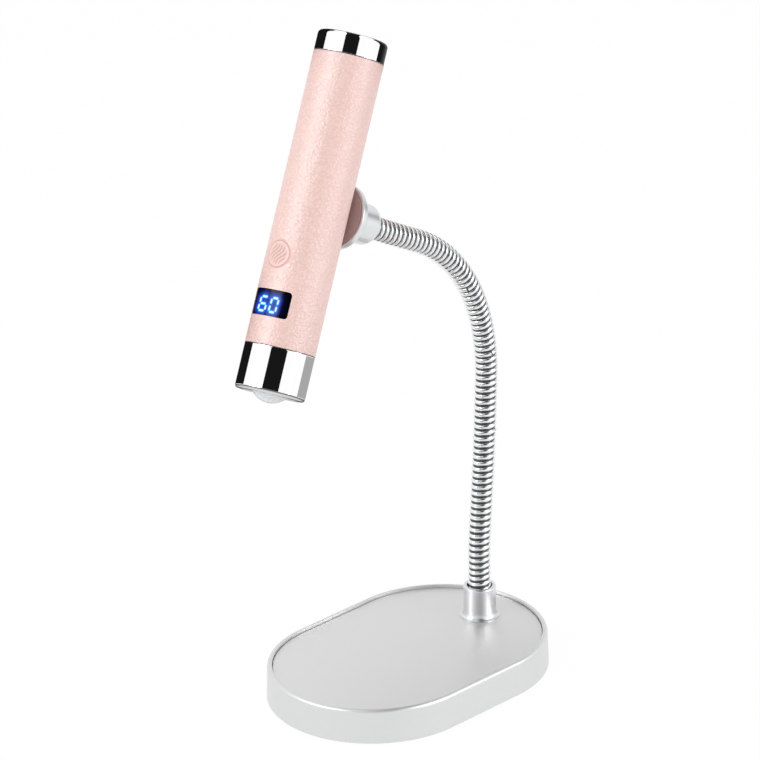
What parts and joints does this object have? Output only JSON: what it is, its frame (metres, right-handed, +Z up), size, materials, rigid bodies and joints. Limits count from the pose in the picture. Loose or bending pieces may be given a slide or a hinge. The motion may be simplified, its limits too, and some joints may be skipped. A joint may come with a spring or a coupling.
{
  "type": "magnetic nail lamp on a gooseneck stand",
  "caption": "Pen-shaped gel nail curing lamp with a display, a round power button and a domed lens, held by a magnet on a metal gooseneck that stands on an oval weighted base.",
  "frame": {"origin": "centre of the base's underside, on the floor", "axes": "+Z up; +X along the base's length, towards the neck's foot, so the lamp faces -X; +Y across the base"},
  "size_m": [0.1265, 0.0708, 0.2299],
  "materials": {
    "silver_paint": "satin silver lacquer",
    "satin_aluminium": "satin anodised",
    "polished_steel": "bright drawn wire",
    "zinc_steel": "zinc plated",
    "cast_iron": "as cast",
    "black_plastic": "fine matte",
    "white_plastic": "matte",
    "foot_foam": "soft foam rubber",
    "mauve_rubber": "matte silicone",
    "nickel": "bright nickel",
    "pink_leather": "pebbled grain",
    "chrome": "mirror polished",
    "barrel_steel": "brushed",
    "smoked_acrylic": "smoked gloss",
    "circuit_board": "solder mask",
    "cell_wrap": "shrink film",
    "heat_sink_aluminium": "machined",
    "lens_acrylic": "clear to milky",
    "led_ceramic": "ceramic package under clear resin"
  },
  "bodies": {
    "stand": {"base_housing": "silver_paint", "base_top_plate": "satin_aluminium", "base_weight": "cast_iron", "base_bottom_cover": "black_plastic", "base_foot_pad": "foot_foam", "cover_screw_1": "zinc_steel", "cover_screw_2": "zinc_steel", "cover_screw_3": "zinc_steel", "cover_screw_4": "zinc_steel", "neck_socket": "satin_aluminium", "socket_washer": "zinc_steel", "socket_nut": "zinc_steel", "gooseneck_core_1": "zinc_steel", "gooseneck_coil_1": "polished_steel"},
    "neck_1": {"gooseneck_core_2": "zinc_steel", "gooseneck_coil_2": "polished_steel"},
    "neck_2": {"gooseneck_core_3": "zinc_steel", "gooseneck_coil_3": "polished_steel"},
    "neck_3": {"gooseneck_core_4": "zinc_steel", "gooseneck_coil_4": "polished_steel"},
    "neck_4": {"gooseneck_core_5": "zinc_steel", "gooseneck_coil_5": "polished_steel"},
    "neck_5": {"gooseneck_core_6": "zinc_steel", "gooseneck_coil_6": "polished_steel"},
    "head": {"gooseneck_core_7": "zinc_steel", "magnet_cup": "satin_aluminium", "neck_end_ferrule": "zinc_steel", "cup_screw": "zinc_steel"},
    "magnet": {"magnet_disc": "nickel", "magnet_pad": "mauve_rubber"},
    "lamp": {"grip_sleeve": "pink_leather", "barrel_tube": "barrel_steel", "display_window": "smoked_acrylic", "tail_cap": "chrome", "usb_c_receptacle": "nickel", "charge_board": "circuit_board", "inner_chassis": "white_plastic", "battery_cell": "cell_wrap", "main_board": "circuit_board", "display_module": "black_plastic", "tact_switch": "black_plastic", "head_ring": "chrome", "heat_sink": "heat_sink_aluminium", "led_board": "white_plastic", "uv_led": "led_ceramic", "reflector": "chrome", "lens_dome": "lens_acrylic", "lens_bezel": "chrome"},
    "button": {"power_button": "pink_leather"}
  },
  "joints": [
    {"name": "neck_bend_1", "type": "hinge", "parent": "stand", "child": "neck_1", "pos_m": [0.03399, 0, 0.03637], "axis": [0, 1, 0], "range_deg": [-20, 20], "deforming": ["gooseneck_coil_1"]},
    {"name": "neck_sway_1", "type": "hinge", "parent": "neck_1", "child": "neck_2", "pos_m": [0.03624, 0, 0.06403], "axis": [0.9971, 0, -0.0761], "range_deg": [-20, 20], "deforming": ["gooseneck_coil_2"]},
    {"name": "neck_bend_2", "type": "hinge", "parent": "neck_2", "child": "neck_3", "pos_m": [0.03798, 0, 0.09172], "axis": [0, 1, 0], "range_deg": [-20, 20], "deforming": ["gooseneck_coil_3"]},
    {"name": "neck_bend_3", "type": "hinge", "parent": "neck_3", "child": "neck_4", "pos_m": [0.03539, 0, 0.11918], "axis": [0, 1, 0], "range_deg": [-20, 20], "deforming": ["gooseneck_coil_4"]},
    {"name": "neck_sway_2", "type": "hinge", "parent": "neck_4", "child": "neck_5", "pos_m": [0.02139, 0, 0.14282], "axis": [0.7103, 0, 0.7039], "range_deg": [-20, 20], "deforming": ["gooseneck_coil_5"]},
    {"name": "neck_bend_4", "type": "hinge", "parent": "neck_5", "child": "head", "pos_m": [-0.00173, 0, 0.1579], "axis": [0, 1, 0], "range_deg": [-20, 20], "deforming": ["gooseneck_coil_6"]},
    {"name": "lamp_turn", "type": "hinge", "parent": "head", "child": "magnet", "pos_m": [-0.02739, 0, 0.17208], "axis": [-0.8729, 0, 0.4879], "continuous": true},
    {"name": "lamp_lift_off", "type": "slide", "parent": "magnet", "child": "lamp", "axis": [-0.8729, 0, 0.4879], "range_m": [0, 0.03]},
    {"name": "power_button_press", "type": "slide", "parent": "lamp", "child": "button", "axis": [0.8729, 0, -0.4879], "range_m": [0, 0.0004], "stiffness_N_per_m": 2000, "springref_m": -0.0005}
  ]
}
